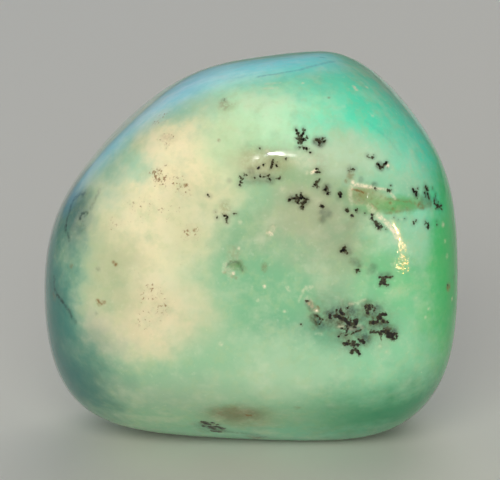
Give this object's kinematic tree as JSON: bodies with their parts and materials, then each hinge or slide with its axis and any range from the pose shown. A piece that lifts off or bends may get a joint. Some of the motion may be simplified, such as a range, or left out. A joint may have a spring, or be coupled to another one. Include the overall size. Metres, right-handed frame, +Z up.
{
  "type": "tumbled chrysoprase stone",
  "caption": "Tumbled polished chrysoprase: a rounded, slightly flattened green and cream stone with dark moss-like dendrites, standing on a small flat spot.",
  "frame": {"origin": "on the surface that the stone stands on, below the middle of its box", "axes": "+X to the right as the broad marked face is seen, along the stone's longest way; +Y away from the viewer, through its thickness; +Z up"},
  "size_m": [0.0274, 0.0194, 0.026],
  "materials": {
    "polished_chrysoprase": "polished, glossy, slightly see-through"
  },
  "bodies": {
    "root": {"stone": "polished_chrysoprase"}
  },
  "joints": []
}
